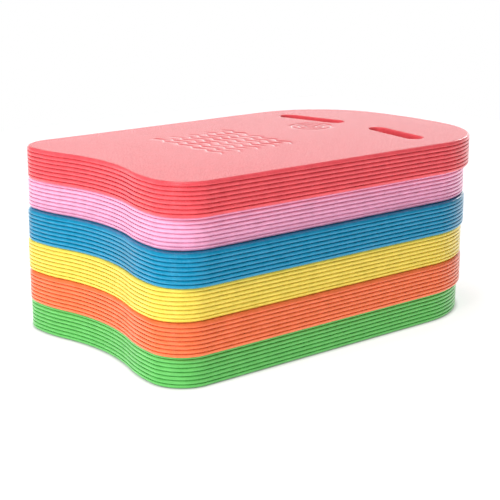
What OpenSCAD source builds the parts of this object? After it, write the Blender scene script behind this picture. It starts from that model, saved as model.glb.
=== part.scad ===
// Stack of kickboards: ribbed EVA foam swimming floats, laid one on another.
//
// Every board is one closed-cell foam moulding and is its own node. The boards share one
// shape and differ only in colour and in how squarely each was put down on the stack.
// X runs from the tail lobes to the nose, Y across the board to the left, Z up. The origin
// is the centre of the lowest board's underside.

/* [Board] */
// Length from the tail lobes to the tip of the nose
board_l = 450; // [430:2:480]
// Width across the shoulders, behind the nose
board_w = 292; // [280:2:300]
// Thickness of one board
board_t = 33; // [28:0.5:38]
// Angle at which each long side leans in towards the tail
side_taper = 0.9; // [0:0.1:1.5]

/* [Outline radii] */
// Radius of the tip of the nose
nose_r = 360; // [300:5:420]
// Radius of the shoulders between the nose and the long sides
shoulder_r = 106; // [90:1:115]
// Radius of the two tail corners
corner_r = 38; // [30:1:46]
// Radius of the inner flank of each tail lobe
lobe_r = 160; // [120:5:200]
// Radius of the hollow between the tail lobes
hollow_r = 210; // [170:5:260]

/* [Edge ribs] */
// Number of ribs that run round the edge
rib_count = 8; // [6:1:10]
// Height of the groove between two ribs
groove_h = 1.1; // [0.8:0.1:1.6]
// Depth of the groove between two ribs
groove_d = 1.4; // [0.6:0.1:1.8]
// Height and depth of the step that eases the top and bottom rims
rim_step = 0.8; // [0.4:0.1:1.2]

/* [Hand slots] */
// Length of a hand slot, end to end
slot_l = 86; // [80:1:96]
// Width of a hand slot
slot_w = 19.5; // [15:0.5:24]
// Distance from the tip of the nose to the centre of a slot
slot_from_nose = 100; // [88:1:105]
// Distance from the board's centre line to the centre of a slot
slot_from_middle = 66.5; // [60:0.5:74]
// Angle at which a slot's outer end leans back towards the tail
slot_lean = 11; // [0:1:20]

/* [Stack] */
// Sideways scale of the uneven stacking, where 0 is a perfectly square stack
unevenness = 1; // [0:0.1:1.2]

/* [Hidden] */
$fn = 96;
overlap = 2;
rib_pitch = board_t / rib_count;
// Hairline of air between two boards, so that neighbours rest without sharing any material
air_gap = 0.02;
// Rounded corners stand this far proud of their neighbours, so that the arcs cross cleanly
proud = 0.25;

// Outline: centres and angles of the arcs of the half with y above 0
nose_c = [board_l / 2 - nose_r, 0];
shoulder_angle = asin((board_w / 2 - proud - shoulder_r) / (nose_r - shoulder_r));
shoulder_c = nose_c + (nose_r - shoulder_r) * heading(shoulder_angle);
side_normal = 90 + side_taper;
corner_x = -board_l / 2 + proud + corner_r;
corner_y = (shoulder_c * heading(side_normal) + shoulder_r - corner_r
    - corner_x * cos(side_normal)) / sin(side_normal);
corner_c = [corner_x, corner_y];
lobe_c = [-board_l / 2 + proud + lobe_r, corner_y];
lobe_angle = asin(corner_y / (lobe_r + hollow_r));
hollow_c = lobe_c - (lobe_r + hollow_r) * heading(lobe_angle);

// How each board was put down: its shift along X, its shift along Y and its turn
RED_PLACE = [-6, -15, 0.1];
PINK_PLACE = [0, -4, 0.3];
BLUE_PLACE = [-5, -10, 0.1];
YELLOW_PLACE = [-4, -6, -0.3];
ORANGE_PLACE = [-5, -8, -0.2];
GREEN_PLACE = [0, 0, 0];

function heading(angle) = [cos(angle), sin(angle)];

// Sector of a disc, as the part of it that lies in a triangle from its centre
module sector(centre, radius, from_angle, to_angle) {
    reach = 2 * radius;
    intersection() {
        translate(centre) circle(r = radius);
        polygon([centre, centre + reach * heading(from_angle), centre + reach * heading(to_angle)]);
    }
}

// Straight-sided middle of the outline, whose corners all end inside an arc's disc
module trunk(inset) {
    half = [
        shoulder_c + (shoulder_r - inset) * heading(side_normal),
        corner_c + (corner_r - inset) * heading(side_normal),
        corner_c + [0, corner_r / 2],
        lobe_c - (lobe_r - inset + proud / 2) * heading(lobe_angle)
    ];
    polygon([
        for (p = half) p,
        for (i = [len(half) - 1:-1:0]) [half[i].x, -half[i].y]
    ]);
}

// Outline of the board, set in by the same amount all round
module outline(inset) {
    difference() {
        union() {
            trunk(inset);
            sector(nose_c, nose_r - inset, -shoulder_angle, shoulder_angle);
            for (side = [0, 1])
                mirror([0, side]) {
                    translate(shoulder_c) circle(r = shoulder_r - inset + proud);
                    translate(corner_c) circle(r = corner_r - inset + proud);
                    sector(lobe_c, lobe_r - inset, 180, 180 + lobe_angle);
                }
        }
        translate(hollow_c) circle(r = hollow_r + inset + proud);
    }
}

// Layer of the board between two heights
module layer(from_z, to_z, inset) {
    translate([0, 0, from_z])
        linear_extrude(height = to_z - from_z)
            outline(inset);
}

// Through opening for one hand, with half-round ends
module hand_slot() {
    straight = slot_l - slot_w;
    translate([board_l / 2 - slot_from_nose, slot_from_middle, -overlap])
        rotate([0, 0, 90 + slot_lean]) {
            translate([-straight / 2, -slot_w / 2, 0])
                cube([straight, slot_w, board_t + 2 * overlap]);
            for (end = [-1, 1])
                translate([end * straight / 2, 0, 0])
                    rotate([0, 0, -90 * end])
                        rotate_extrude(angle = 180)
                            square([slot_w / 2, board_t + 2 * overlap]);
        }
}

// One moulded foam board, centred on the origin with its underside at z = 0
module board() {
    difference() {
        union() {
            layer(0, overlap, rim_step);
            layer(board_t - overlap, board_t, rim_step);
            layer(overlap / 2, board_t - overlap / 2, groove_d);
            for (k = [0:rib_count - 1])
                layer(
                    k * rib_pitch + (k == 0 ? rim_step : groove_h / 2),
                    (k + 1) * rib_pitch - (k == rib_count - 1 ? rim_step : groove_h / 2),
                    0
                );
        }
        for (side = [0, 1])
            mirror([0, side, 0]) hand_slot();
    }
}

// Board at its level in the stack, shifted and turned the way it was put down
module stacked(level, place) {
    translate([unevenness * place.x, unevenness * place.y, level * (board_t + air_gap)])
        rotate([0, 0, unevenness * place.z])
            board();
}

module red_board() {
    color([0.93, 0.27, 0.29]) stacked(5, RED_PLACE);
}

module pink_board() {
    color([0.96, 0.62, 0.82]) stacked(4, PINK_PLACE);
}

module blue_board() {
    color([0.08, 0.55, 0.75]) stacked(3, BLUE_PLACE);
}

module yellow_board() {
    color([0.96, 0.86, 0.33]) stacked(2, YELLOW_PLACE);
}

module orange_board() {
    color([0.98, 0.47, 0.28]) stacked(1, ORANGE_PLACE);
}

module green_board() {
    color([0.33, 0.74, 0.35]) stacked(0, GREEN_PLACE);
}

red_board();
pink_board();
blue_board();
yellow_board();
orange_board();
green_board();
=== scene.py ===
"""Stack of six ribbed EVA foam kickboards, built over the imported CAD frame.

Each CAD board gives its size, its place and its turn. The script replaces it with a finished foam
moulding: rounded rims, ribs round the edge, two hand slots and a shallow pressed water motif.
Board lengths are in millimetres in the board's own frame: X from the tail lobes to the nose, Y to
the left, Z up from the underside. Finished meshes, lights, camera and floor are in metres in the
row frame.
"""

import math

import bmesh
import bpy
import numpy as np
from mathutils import Matrix, Vector
from mathutils.geometry import delaunay_2d_cdt
from mathutils.kdtree import KDTree


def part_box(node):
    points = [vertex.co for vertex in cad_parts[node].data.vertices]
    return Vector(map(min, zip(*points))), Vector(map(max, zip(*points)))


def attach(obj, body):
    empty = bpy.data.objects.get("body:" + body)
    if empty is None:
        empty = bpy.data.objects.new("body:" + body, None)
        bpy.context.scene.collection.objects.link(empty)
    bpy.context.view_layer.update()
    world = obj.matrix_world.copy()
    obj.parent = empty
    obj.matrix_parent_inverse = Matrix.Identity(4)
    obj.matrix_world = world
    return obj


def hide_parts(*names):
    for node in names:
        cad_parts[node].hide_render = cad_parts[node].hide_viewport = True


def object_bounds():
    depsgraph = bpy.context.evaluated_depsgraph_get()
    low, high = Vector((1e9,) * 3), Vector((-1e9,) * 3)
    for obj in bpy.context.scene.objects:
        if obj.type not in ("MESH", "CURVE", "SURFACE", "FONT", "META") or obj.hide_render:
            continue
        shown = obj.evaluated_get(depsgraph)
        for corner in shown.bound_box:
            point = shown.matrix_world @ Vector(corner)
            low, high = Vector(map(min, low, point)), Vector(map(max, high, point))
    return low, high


MM = 0.001

# Outline radii, as in the CAD source
NOSE_R = 360
SHOULDER_R = 106
CORNER_R = 38
LOBE_R = 160
HOLLOW_R = 210
SIDE_TAPER = math.radians(0.9)

# How far the foam's sides and tail lie inside the CAD board's box
CLEARANCE = 0.25

# Edge: ribs with grooves between them, and rounded rims. A groove's floor and its mouth are given
# as half their widths
RIB_COUNT = 8
RIB_CROWN = 0.1
GROOVE_DEPTH = 1.6
GROOVE_FLOOR = 0.3
GROOVE_HALF = 0.52
RIM_R = 3.0
RIM_FLAT = 1.5

# Fineness: longest steps along the outlines, and rows down a rim and down a groove's wall
EDGE_STEP = 3.6
CORNER_STEP = EDGE_STEP * 0.6
SLOT_STEP = 1.4
RIM_ROWS = 8
SLOT_RIM_ROWS = 6
GROOVE_ROWS = 5

# Hand slots, whose outer ends lean back towards the tail. Their walls have rows at these shares of
# the thickness
SLOT_L = 86
SLOT_W = 19.5
SLOT_FROM_NOSE = 100
SLOT_FROM_MIDDLE = 66.5
SLOT_LEAN = math.radians(11)
SLOT_RIM_R = 1.6
SLOT_RIM_FLAT = 1.2
SLOT_WALL_SHARES = (0.75, 0.5, 0.25)

# Pressed motif: wave lines amidships, and ripple rings near the hand slots. Along each stroke run
# lines of points at these shares of its half width, and it fades out over its last few points
STROKE_HALF = 1.1
STROKE_DEPTH = 0.3
STROKE_SHARES = (-1, -0.62, 0, 0.62, 1)
STROKE_FADE = 4
WAVE_ROWS = 9
WAVE_PITCH = 11.5
WAVE_CENTRE = (-51, 12)
WAVE_SPAN = 122
WAVE_SHORTENING = 0.16
WAVE_LENGTH = 24
WAVE_HEIGHT = 2.6
WAVE_STEP = 1.6
RING_CENTRE = (86, 25)
RING_RADII = (6, 14, 22)
RING_POINTS_PER_MM = 4
RING_POINTS_LEAST = 16

# Loose points on the deck: their spacing, and how clear they stay of edges and of the motif.
# Points closer than WELD count as one
DECK_GRID = 6.0
EDGE_GAP = DECK_GRID * 0.45
MARK_GAP = 2.0
WELD = 1e-7

# Unevenness of soft foam: how much, and the shortest and longest wave of each kind. On the sides
# the waves are squeezed in height, and the ribs' wander dies away near the deck and underside
THINNING = 0.12
THINNING_WAVES = (60, 200)
SIDE_WANDER = 0.05
SIDE_WAVES = (40, 160)
SIDE_STRETCH = (1, 1, 3)
RIB_WANDER = 0.015
RIB_WAVES = (30, 120)
WANDER_FADE = 4
WAVES_SUMMED = 7

# Foam skin, each layer lying on the one before: size, detail and roughness of its noise, and its
# bump's height and strength
SKIN_LAYERS = {
    "mottle": (9, 4, 0.6, 0.25, 0.5),
    "cells": (1.1, 3, 0.6, 0.08, 0.7),
    "grain": (0.45, 2, 0.5, 0.03, 0.7),
}
CELL_RANGE = (0.3, 0.7)
ROUGHNESS = (0.24, 0.32)
FOAM_IOR = 1.36

# Foam colour: the darker and the paler mottles, and how far a painted sheen takes a pressed stroke
# towards white
MOTTLE_RANGE = (0.35, 0.65)
DEEP_SHARE = 0.93
PALE_SHARE = 1.02
PALE_LIFT = 0.012
PRESSED_RANGE = (0.2, 1)
PRESSED_PAINTED_SHEEN = 0.5

# Camera: where it looks, its lens, and its place from the deck's centre
AZIMUTH = math.radians(40.0)
PITCH = math.radians(-14.8)
LENS = 87.2
CAMERA_BACK = 1.270
CAMERA_LEFT = 0.0185
CAMERA_UP = 0.2121
CAMERA_NEAR = 0.01

# Level ways straight ahead of the camera and to its right
AHEAD = Vector((math.sin(AZIMUTH), math.cos(AZIMUTH), 0))
ASIDE = Vector((math.cos(AZIMUTH), -math.sin(AZIMUTH), 0))

# Room, and a backdrop behind the object: brightness, and where the backdrop fades out sideways
# (cosine of the angle off the view) and upwards (sine of the height), down to a last share
ROOM_LIGHT = 0.14
BACKDROP_LIGHT = 2.4
BACKDROP_ASIDE = (0.1, 0.9)
BACKDROP_UP = (0.08, 0.32)
BACKDROP_LAST = 0.05

# Floor: its paint, its glow as light and to the camera, half its side, and a contact shadow's reach
FLOOR_GREY = 0.45
FLOOR_ROUGHNESS = 0.9
FLOOR_GLOW = 1.1
FLOOR_SEEN = 0.78
FLOOR_REACH = 1.3
CONTACT_REACH = 0.005

# Round soft lights: the way to each one, its strength and its diameter
LIGHT_DISTANCE = 2.0
LIGHTS = {
    "key": ((-0.86, -0.22, 0.4), 0.67, 1.4),
    "fill": ((0.1, -1, 0.1), 0.08, 1.2),
    "overhead": ((-0.1, 0.1, 1), 0.45, 0.8),
    "glint": ((-0.85, -0.4, 0.6), 0.12, 0.25),
    "rim": ((0.86, 0.35, 0.38), 0.1, 0.3),
}

# Boards from the top of the stack down, with their foam colours as linear RGB
FOAMS = {
    "red_board": (0.85, 0.085, 0.105),
    "pink_board": (0.88, 0.40, 0.60),
    "blue_board": (0.001, 0.26, 0.46),
    "yellow_board": (0.88, 0.68, 0.09),
    "orange_board": (0.89, 0.18, 0.06),
    "green_board": (0.12, 0.52, 0.11),
}


def heading(angle):
    return np.array([math.cos(angle), math.sin(angle)])


def smoothstep(low, high, value):
    t = np.clip((value - low) / (high - low), 0, 1)
    return t * t * (3 - 2 * t)


# ---------------------------------------------------------------- places from the CAD frame


def wedges(tri):
    """Signed volumes of the tetrahedra from the origin to each triangle."""
    return np.einsum("ij,ij->i", tri[:, 0], np.cross(tri[:, 1], tri[:, 2])) / 6


def solid_place(node):
    """Centre of volume of a CAD solid and the turn of its long axis, in metres and radians."""
    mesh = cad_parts[node].data
    mesh.calc_loop_triangles()
    co = np.array([v.co for v in mesh.vertices])
    tri = co[np.array([t.vertices for t in mesh.loop_triangles])]
    volume = wedges(tri)
    centre = (volume[:, None] * tri.sum(axis=1) / 4).sum(axis=0) / volume.sum()
    tri = tri - centre
    volume = wedges(tri)
    sums = tri.sum(axis=1)
    moments = np.einsum("i,ij,ik->jk", volume, sums, sums)
    moments += np.einsum("i,inj,ink->jk", volume, tri, tri)
    turn = 0.5 * math.atan2(2 * moments[0, 1], moments[0, 0] - moments[1, 1])
    return Vector(centre), turn


def board_matrix(node):
    """Matrix from a board's own frame, in metres, to the row frame."""
    home, home_turn = solid_place("green_board")
    centre, turn = solid_place(node)
    spin = Matrix.Rotation(turn - home_turn, 4, "Z")
    return Matrix.Translation(centre) @ spin @ Matrix.Translation(-home)


# ---------------------------------------------------------------- outlines


def arc(centre, radius, start, stop, step, outward=1):
    """Stations along an arc: rows of x, y, normal x, normal y."""
    count = max(2, math.ceil(abs(stop - start) * radius / step))
    rows = []
    for angle in np.linspace(start, stop, count, endpoint=False):
        way = heading(angle)
        rows.append([*(centre + radius * way), *(outward * way)])
    return rows


def straight(start, stop, normal, step):
    """Stations along a straight line, all with the same normal."""
    count = max(2, math.ceil(np.linalg.norm(stop - start) / step))
    return [[*(start + (stop - start) * k / count), *normal] for k in range(count)]


def board_outline(length, width):
    """Stations round the board, from the tip of the nose by the left side."""
    nose = np.array([length / 2 - NOSE_R, 0])
    shoulder_angle = math.asin((width / 2 - CLEARANCE - SHOULDER_R) / (NOSE_R - SHOULDER_R))
    shoulder = nose + (NOSE_R - SHOULDER_R) * heading(shoulder_angle)
    side_angle = math.pi / 2 + SIDE_TAPER
    side = heading(side_angle)
    corner_x = -length / 2 + CLEARANCE + CORNER_R
    corner_y = (shoulder @ side + SHOULDER_R - CORNER_R - corner_x * side[0]) / side[1]
    corner = np.array([corner_x, corner_y])
    lobe = np.array([-length / 2 + CLEARANCE + LOBE_R, corner_y])
    lobe_angle = math.asin(corner_y / (LOBE_R + HOLLOW_R))
    hollow = lobe - (LOBE_R + HOLLOW_R) * heading(lobe_angle)
    half = arc(nose, NOSE_R, 0, shoulder_angle, EDGE_STEP)
    half += arc(shoulder, SHOULDER_R, shoulder_angle, side_angle, EDGE_STEP)
    half += straight(shoulder + SHOULDER_R * side, corner + CORNER_R * side, side, EDGE_STEP)
    half += arc(corner, CORNER_R, side_angle, math.pi, CORNER_STEP)
    half += arc(lobe, LOBE_R, math.pi, math.pi + lobe_angle, EDGE_STEP)
    half += arc(hollow, HOLLOW_R, lobe_angle, 0, EDGE_STEP, outward=-1)
    half.append([hollow[0] + HOLLOW_R, 0, -1, 0])
    half = np.array(half)
    mirrored = half[-2:0:-1] * [1, -1, 1, -1]
    return np.vstack([half, mirrored])


def slot_outline(length, side):
    """Stations round a hand slot, whose normals point out into the foam. side is 1 or -1."""
    straight_half = (SLOT_L - SLOT_W) / 2
    radius = SLOT_W / 2
    along = heading(math.pi / 2 + SLOT_LEAN)
    across = heading(SLOT_LEAN)
    centre = np.array([length / 2 - SLOT_FROM_NOSE, SLOT_FROM_MIDDLE])
    rows = []
    for end, start in ((1, SLOT_LEAN), (-1, SLOT_LEAN + math.pi)):
        tip = centre + end * straight_half * along
        first = tip + end * radius * across
        rows += straight(first - 2 * end * straight_half * along, first, end * across, EDGE_STEP)
        rows += arc(tip, radius, start, start + math.pi, SLOT_STEP)
    return np.array(rows) * [1, side, 1, side]


# ---------------------------------------------------------------- edge sections


def groove_inset(z, thickness):
    """How far a point of the ribbed edge lies inside the outline, at height z."""
    pitch = thickness / RIB_COUNT
    nearest = np.clip(np.round(z / pitch), 1, RIB_COUNT - 1) * pitch
    away = np.abs(z - nearest)
    groove = GROOVE_DEPTH * (1 - smoothstep(GROOVE_FLOOR, GROOVE_HALF, away))
    crown = RIB_CROWN * (1 - smoothstep(0, pitch / 2, away))
    return groove + crown


def rounding(radius, margin, top, angles):
    """Rows of inset and height: a flat margin at the top and then a quarter round."""
    rows = [(radius + margin, top)]
    for angle in angles:
        rows.append((radius * (1 - math.sin(angle)), top - radius * (1 - math.cos(angle))))
    return rows


def edge_section(thickness):
    """Rows of inset and height, from the deck over the ribs to the underside."""
    rim = rounding(RIM_R, RIM_FLAT, thickness, np.linspace(0, math.pi / 2, RIM_ROWS)[:-1])
    pitch = thickness / RIB_COUNT
    heights = [thickness - RIM_R, RIM_R]
    for k in range(1, RIB_COUNT):
        for away in np.linspace(GROOVE_FLOOR, GROOVE_HALF, GROOVE_ROWS):
            heights += [k * pitch - away, k * pitch + away]
        if k > 1:
            heights += [(k - 0.5) * pitch]
    heights = np.array(sorted(heights, reverse=True))
    ribs = list(zip(groove_inset(heights, thickness), heights))
    underside = [(inset, thickness - z) for inset, z in reversed(rim)]
    return rim + ribs + underside


def slot_section(thickness):
    """Rows of outset from the slot's wall and height, from the deck down to the underside."""
    angles = np.linspace(0, math.pi / 2, SLOT_RIM_ROWS)
    lip = rounding(SLOT_RIM_R, SLOT_RIM_FLAT, thickness, angles)
    wall = [(0, thickness * share) for share in SLOT_WALL_SHARES]
    return lip + wall + [(out, thickness - z) for out, z in reversed(lip)]


# ---------------------------------------------------------------- pressed motif


def stroke_depth(share):
    """Depth of a pressed line at a share of its half width from its middle."""
    return STROKE_DEPTH * (1 - share**4)


def stroke_rails(path):
    """Points of a pressed line along a path, as rows of x, y and depth."""
    run = np.gradient(path, axis=0)
    run /= np.linalg.norm(run, axis=1)[:, None]
    across = np.column_stack([-run[:, 1], run[:, 0]])
    order = np.arange(len(path))
    fade = smoothstep(0, STROKE_FADE, np.minimum(order, order[::-1]))
    rails = []
    for share in STROKE_SHARES:
        depth = stroke_depth(share) * fade
        rails.append(np.column_stack([path + share * STROKE_HALF * across, depth]))
    return np.vstack(rails)


def ring_rails(radius):
    """Points of a pressed ring, as rows of x, y and depth."""
    count = max(RING_POINTS_LEAST, round(RING_POINTS_PER_MM * radius))
    turns = np.linspace(0, 2 * math.pi, count, endpoint=False)
    centre_x, centre_y = RING_CENTRE
    rails = []
    for share in STROKE_SHARES:
        reach = radius + share * STROKE_HALF
        for turn in turns:
            x = centre_x + reach * math.cos(turn)
            y = centre_y + reach * math.sin(turn)
            rails.append((x, y, stroke_depth(share)))
    return np.array(rails)


def motif():
    """Points of the whole pressed motif, as rows of x, y and depth."""
    parts = []
    for row in range(WAVE_ROWS):
        offset = (row - (WAVE_ROWS - 1) / 2) * WAVE_PITCH
        span = WAVE_SPAN * (1 - WAVE_SHORTENING * (row % 2))
        y = np.arange(-span / 2, span / 2, WAVE_STEP)
        x = offset + WAVE_HEIGHT * np.cos(2 * math.pi * y / WAVE_LENGTH)
        parts.append(stroke_rails(np.column_stack([WAVE_CENTRE[0] + x, WAVE_CENTRE[1] + y])))
    for radius in RING_RADII:
        parts.append(ring_rails(radius))
    return np.vstack(parts)


# ---------------------------------------------------------------- board mesh


def inside(points, loop):
    """Whether each point lies inside a closed loop."""
    x, y = points[:, 0], points[:, 1]
    result = np.zeros(len(points), bool)
    for (x1, y1), (x2, y2) in zip(loop, np.roll(loop, -1, axis=0)):
        crosses = (y1 > y) != (y2 > y)
        if y1 != y2:
            result ^= crosses & (x < (x2 - x1) * (y - y1) / (y2 - y1) + x1)
    return result


def clear_of(points, others, distance):
    """Whether each point is farther than a distance from all the others."""
    tree = KDTree(len(others))
    for k, (x, y) in enumerate(others):
        tree.insert((x, y, 0), k)
    tree.balance()
    return np.array([tree.find((x, y, 0))[2] > distance for x, y in points])


def deck_grid(rim, holes, marks):
    """Loose points that fill the deck between its rim, its slots and the motif."""
    low, high = rim.min(axis=0), rim.max(axis=0)
    rise = DECK_GRID * math.sqrt(3) / 2
    rows = []
    for k, y in enumerate(np.arange(low[1], high[1], rise)):
        x = np.arange(low[0] + (k % 2) * DECK_GRID / 2, high[0], DECK_GRID)
        rows.append(np.column_stack([x, np.full(len(x), y)]))
    points = np.vstack(rows)
    points = points[inside(points, rim)]
    for hole in holes:
        points = points[~inside(points, hole)]
    points = points[clear_of(points, np.vstack([rim, *holes]), EDGE_GAP)]
    if len(marks):
        points = points[clear_of(points, marks, MARK_GAP)]
    return points


def enclosed(triangles, walls, start):
    """The triangles that are joined to the start point without crossing a wall."""
    sides = [[frozenset(pair) for pair in zip(t, t[1:] + t[:1])] for t in triangles]
    beside = {}
    for k, pairs in enumerate(sides):
        for pair in pairs:
            beside.setdefault(pair, []).append(k)
    waiting = [k for k, corners in enumerate(triangles) if start in corners]
    found = set(waiting)
    while waiting:
        for pair in sides[waiting.pop()]:
            fresh = set(beside[pair]) - found if pair not in walls else set()
            found |= fresh
            waiting.extend(fresh)
    return [triangles[k] for k in sorted(found)]


def fill_face(rim, holes, marks):
    """Triangulates a face. Returns its loose points and the triangles over all the points."""
    loose = np.vstack([marks, deck_grid(rim, holes, marks)])
    points = np.vstack([rim, *holes, loose])
    edges = []
    first = 0
    for loop in [rim, *holes]:
        edges += [(first + k, first + (k + 1) % len(loop)) for k in range(len(loop))]
        first += len(loop)
    corners = [Vector(p) for p in points]
    _, _, triangles, origin, _, _ = delaunay_2d_cdt(corners, edges, [], 0, WELD)
    triangles = [tuple(origin[v][0] for v in t) for t in triangles]
    # The last point is a loose one, so it lies on the face and not in a hole
    return loose, enclosed(triangles, set(map(frozenset, edges)), len(points) - 1)


class Skin:
    """Vertices and faces of one board, gathered piece by piece."""

    def __init__(self):
        self.points = []
        self.pressed = []
        self.faces = []

    def add(self, points, pressed=0):
        """Adds points, each with how deep it is pressed from 0 to 1. Returns the first's number."""
        first = len(self.points)
        self.points.extend(map(tuple, points))
        self.pressed.extend(np.zeros(len(points)) + pressed)
        return first

    def band(self, rows):
        """Quads between closed rows of points. Returns the first and the last row's numbers."""
        count = len(rows[0])
        starts = [self.add(row) for row in rows]
        for upper, lower in zip(starts, starts[1:]):
            for k in range(count):
                n = (k + 1) % count
                self.faces.append((upper + k, lower + k, lower + n, upper + n))
        return [range(s, s + count) for s in (starts[0], starts[-1])]

    def face(self, loops, marks, depths, z):
        """Flat face between loops that are already there, pressed down at the motif's marks."""
        flat = [np.array([self.points[v][:2] for v in loop]) for loop in loops]
        loose, triangles = fill_face(flat[0], flat[1:], marks)
        dip = np.zeros(len(loose))
        dip[: len(depths)] = depths
        first = self.add(np.column_stack([loose, z - dip]), dip / STROKE_DEPTH)
        numbers = [v for loop in loops for v in loop] + list(range(first, first + len(loose)))
        self.faces.extend(tuple(numbers[v] for v in t) for t in triangles)


def rows_of(outline, section, sign):
    """Rows of 3-D points: an outline moved along its normals by each step of a section."""
    return [
        np.column_stack([outline[:, :2] + sign * out * outline[:, 2:], np.full(len(outline), z)])
        for out, z in section
    ]


def sway(points, rng, shortest, longest):
    """Smooth random field over the points, from -1 to 1, made of sine waves."""
    total = np.zeros(len(points))
    for _ in range(WAVES_SUMMED):
        wave = rng.uniform(shortest, longest)
        way = rng.normal(size=points.shape[1])
        way /= np.linalg.norm(way)
        total += np.sin(2 * math.pi * (points @ way) / wave + rng.uniform(0, 2 * math.pi))
    return total / WAVES_SUMMED


def soften(points, thickness, rng):
    """Uneven foam: it is never thicker or wider than its mould, only a little less."""
    points = np.array(points)
    outward = points[:, :2] / np.linalg.norm(points[:, :2], axis=1)[:, None].clip(1)
    middle = thickness / 2
    thin = THINNING * (1 + sway(points[:, :2], rng, *THINNING_WAVES)) / middle
    wander = RIB_WANDER * sway(points, rng, *RIB_WAVES)
    wander *= smoothstep(0, WANDER_FADE, middle - abs(points[:, 2] - middle))
    points[:, 2] = middle + (points[:, 2] - middle) * (1 - thin) + wander
    pull = SIDE_WANDER * (1 + sway(points * SIDE_STRETCH, rng, *SIDE_WAVES))
    points[:, :2] -= pull[:, None] * outward
    return points


def board_mesh(name, size, seed):
    """Closed mesh of one board in its own frame, in metres."""
    length, width, thickness = size
    outline = board_outline(length, width)
    skin = Skin()
    edge = skin.band(rows_of(outline, edge_section(thickness), -1))
    slots = [
        skin.band(rows_of(slot_outline(length, side), slot_section(thickness), 1))
        for side in (1, -1)
    ]
    marks = motif()
    skin.face([edge[0]] + [s[0] for s in slots], marks[:, :2], marks[:, 2], thickness)
    skin.face([edge[1]] + [s[1] for s in slots], np.zeros((0, 2)), np.zeros(0), 0)
    points = soften(skin.points, thickness, np.random.RandomState(seed)) * MM
    mesh = bpy.data.meshes.new(name)
    mesh.from_pydata([Vector(p) for p in points], [], skin.faces)
    pressed = mesh.attributes.new("pressed", "FLOAT", "POINT")
    pressed.data.foreach_set("value", np.array(skin.pressed, np.float32))
    work = bmesh.new()
    work.from_mesh(mesh)
    bmesh.ops.recalc_face_normals(work, faces=work.faces)
    work.to_mesh(mesh)
    work.free()
    mesh.shade_smooth()
    return mesh


# ---------------------------------------------------------------- foam material


def node(tree, kind, inputs=None, **settings):
    """Adds a shader node. An input is a value or another node's output socket."""
    made = tree.nodes.new(kind)
    for key, value in settings.items():
        setattr(made, key, value)
    for key, value in (inputs or {}).items():
        if isinstance(value, bpy.types.NodeSocket):
            tree.links.new(value, made.inputs[key])
        else:
            made.inputs[key].default_value = value
    return made


def noise(tree, place, size, detail, roughness):
    """Noise whose features are about size across."""
    inputs = {
        "Vector": place,
        "Scale": 1 / (size * MM),
        "Detail": detail,
        "Roughness": roughness,
    }
    return node(tree, "ShaderNodeTexNoise", inputs).outputs["Fac"]


def remap(tree, value, low, high, out_low, out_high):
    """Maps the range from low to high onto another, and stops at its ends."""
    inputs = {
        "Value": value,
        "From Min": low,
        "From Max": high,
        "To Min": out_low,
        "To Max": out_high,
    }
    return node(tree, "ShaderNodeMapRange", inputs).outputs["Result"]


def times(tree, first, second):
    """Product of two sockets."""
    product = node(tree, "ShaderNodeMath", {0: first, 1: second}, operation="MULTIPLY")
    return product.outputs["Value"]


def tint(tree, factor, first, second):
    """Mix of two colours, each a linear RGB value or a socket."""
    mix = node(tree, "ShaderNodeMix", data_type="RGBA")
    tree.links.new(factor, mix.inputs["Factor"])
    for key, colour in (("A", first), ("B", second)):
        if isinstance(colour, bpy.types.NodeSocket):
            tree.links.new(colour, mix.inputs[key])
        else:
            mix.inputs[key].default_value = (*colour, 1)
    return mix.outputs["Result"]


def blank_material(name):
    """New material with an empty node tree. Returns both."""
    material = bpy.data.materials.new(name)
    material.use_nodes = True
    material.node_tree.nodes.clear()
    return material, material.node_tree


def surface(tree, inputs):
    """Ends a material's tree in a principled surface."""
    shader = node(tree, "ShaderNodeBsdfPrincipled", inputs)
    output = node(tree, "ShaderNodeOutputMaterial")
    tree.links.new(shader.outputs["BSDF"], output.inputs["Surface"])


def foam_colour(tree, mottle, colour):
    """Faintly mottled foam colour, with a painted sheen that makes it paler where the motif is
    pressed in.
    """
    deep = [c * DEEP_SHARE for c in colour]
    pale = [min(1, c * PALE_SHARE + PALE_LIFT) for c in colour]
    # Painted sheen: a pressed stroke's colour is taken part way to white
    painted_sheen = [c + PRESSED_PAINTED_SHEEN * (1 - c) for c in colour]
    pressed = node(tree, "ShaderNodeAttribute", attribute_name="pressed").outputs["Fac"]
    mixed = tint(tree, remap(tree, mottle, *MOTTLE_RANGE, 0, 1), deep, pale)
    return tint(tree, remap(tree, pressed, *PRESSED_RANGE, 0, 1), mixed, painted_sheen)


def foam(name, colour):
    """Matt closed-cell EVA foam with a fine skin grain and faint mottling."""
    material, tree = blank_material(name)
    place = node(tree, "ShaderNodeTexCoord").outputs["Object"]
    heights = {}
    bump = {}
    for layer, (size, detail, rough, height, strength) in SKIN_LAYERS.items():
        heights[layer] = noise(tree, place, size, detail, rough)
        bump |= {"Height": heights[layer], "Distance": height * MM, "Strength": strength}
        bump["Normal"] = node(tree, "ShaderNodeBump", bump).outputs["Normal"]
    surface(
        tree,
        {
            "Base Color": foam_colour(tree, heights["mottle"], colour),
            "Roughness": remap(tree, heights["cells"], *CELL_RANGE, *ROUGHNESS),
            "IOR": FOAM_IOR,
            "Normal": bump["Normal"],
        },
    )
    return material


# ---------------------------------------------------------------- studio


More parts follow.
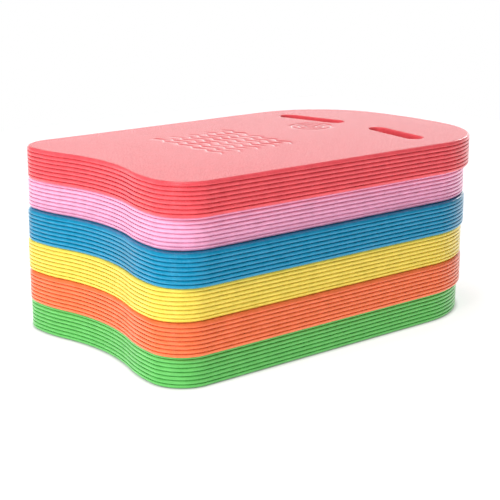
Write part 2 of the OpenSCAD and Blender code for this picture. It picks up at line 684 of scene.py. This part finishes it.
def studio_floor(low):
    """Pale floor, near white to the camera, that throws light up onto the sides."""
    mesh = bpy.data.meshes.new("floor")
    signs = ((-1, -1), (1, -1), (1, 1), (-1, 1))
    corners = [(x * FLOOR_REACH, y * FLOOR_REACH, low) for x, y in signs]
    mesh.from_pydata(corners, [], [(0, 1, 2, 3)])
    floor = bpy.data.objects.new("floor", mesh)
    bpy.context.scene.collection.objects.link(floor)
    material, tree = blank_material("pale_floor")
    seen = node(tree, "ShaderNodeLightPath").outputs["Is Camera Ray"]
    glow = remap(tree, seen, 0, 1, FLOOR_GLOW, FLOOR_SEEN)
    # The glow dies away under the foam and close beside it, which leaves a contact shadow
    clear = node(tree, "ShaderNodeAmbientOcclusion", {"Distance": CONTACT_REACH}).outputs["AO"]
    surface(
        tree,
        {
            "Base Color": (FLOOR_GREY, FLOOR_GREY, FLOOR_GREY, 1),
            "Roughness": FLOOR_ROUGHNESS,
            "Specular IOR Level": 0.0,
            "Emission Color": (1, 1, 1, 1),
            "Emission Strength": times(tree, glow, clear),
        },
    )
    mesh.materials.append(material)


def area_light(name, way, strength, size, target):
    """Round light that faces the target. Strength 1 lights a facing white surface to white."""
    place = target + LIGHT_DISTANCE * Vector(way).normalized()
    data = bpy.data.lights.new(name, "AREA")
    data.shape = "DISK"
    data.size = size
    data.energy = strength * (math.pi * LIGHT_DISTANCE) ** 2
    light = bpy.data.objects.new(name, data)
    light.location = place
    light.rotation_euler = (target - place).to_track_quat("-Z", "Y").to_euler()
    # A deck seen from the nose end would mirror the key as a white patch
    light.visible_glossy = name != "key"
    bpy.context.scene.collection.objects.link(light)


def surroundings():
    """White to the camera. As light, a bright backdrop behind the object and a dimmer room."""
    world = bpy.data.worlds.new("studio")
    bpy.context.scene.world = world
    world.use_nodes = True
    tree = world.node_tree
    background = tree.nodes["Background"]
    way = node(tree, "ShaderNodeTexCoord").outputs["Generated"]
    facing = node(tree, "ShaderNodeVectorMath", {0: way, 1: AHEAD}, operation="DOT_PRODUCT")
    behind = remap(tree, facing.outputs["Value"], *BACKDROP_ASIDE, 0, 1)
    height = node(tree, "ShaderNodeSeparateXYZ", {0: way}).outputs["Z"]
    low = remap(tree, height, *BACKDROP_UP, 1, BACKDROP_LAST)
    lit = remap(tree, times(tree, behind, low), 0, 1, ROOM_LIGHT, BACKDROP_LIGHT)
    seen = node(tree, "ShaderNodeLightPath").outputs["Is Camera Ray"]
    strength = node(tree, "ShaderNodeMix", {"Factor": seen, "A": lit, "B": 1.0})
    tree.links.new(strength.outputs["Result"], background.inputs["Strength"])
    background.inputs["Color"].default_value = (1, 1, 1, 1)


def camera(deck):
    """Camera off the tail's right corner, a little above the deck. deck is the deck's centre."""
    data = bpy.data.cameras.new("camera")
    data.lens = LENS
    data.clip_start = CAMERA_NEAR
    viewer = bpy.data.objects.new("camera", data)
    viewer.location = deck - CAMERA_BACK * AHEAD - CAMERA_LEFT * ASIDE + Vector((0, 0, CAMERA_UP))
    viewer.rotation_euler = (math.pi / 2 + PITCH, 0, -AZIMUTH)
    bpy.context.scene.collection.objects.link(viewer)
    bpy.context.scene.camera = viewer


# ---------------------------------------------------------------- scene

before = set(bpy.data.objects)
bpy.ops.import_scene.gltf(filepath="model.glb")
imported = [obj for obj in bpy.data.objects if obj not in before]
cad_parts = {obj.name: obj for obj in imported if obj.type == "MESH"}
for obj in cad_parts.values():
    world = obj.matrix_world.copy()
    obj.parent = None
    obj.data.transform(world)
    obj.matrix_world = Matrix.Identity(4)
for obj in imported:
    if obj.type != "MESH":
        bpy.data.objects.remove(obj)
cad_low, cad_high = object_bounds()

# The lowest board isn't turned, so its box gives every board's size
home_low, home_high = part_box("green_board")
board_size = [side / MM for side in home_high - home_low]

for seed, (board, colour) in enumerate(FOAMS.items()):
    hue = board.split("_")[0]
    piece_name = f"{hue}_foam_board"
    piece = bpy.data.objects.new(piece_name, board_mesh(piece_name, board_size, seed))
    piece.data.transform(board_matrix(board))
    piece.data.materials.append(foam(f"{hue}_foam", colour))
    bpy.context.scene.collection.objects.link(piece)
    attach(piece, hue)
    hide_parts(board)

studio_floor(cad_low.z)
surroundings()
for name, (way, strength, size) in LIGHTS.items():
    area_light(name, way, strength, size, (cad_low + cad_high) / 2)
red_low, red_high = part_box("red_board")
camera(Vector(((red_low.x + red_high.x) / 2, (red_low.y + red_high.y) / 2, red_high.z)))
bpy.context.scene.view_settings.view_transform = "Standard"
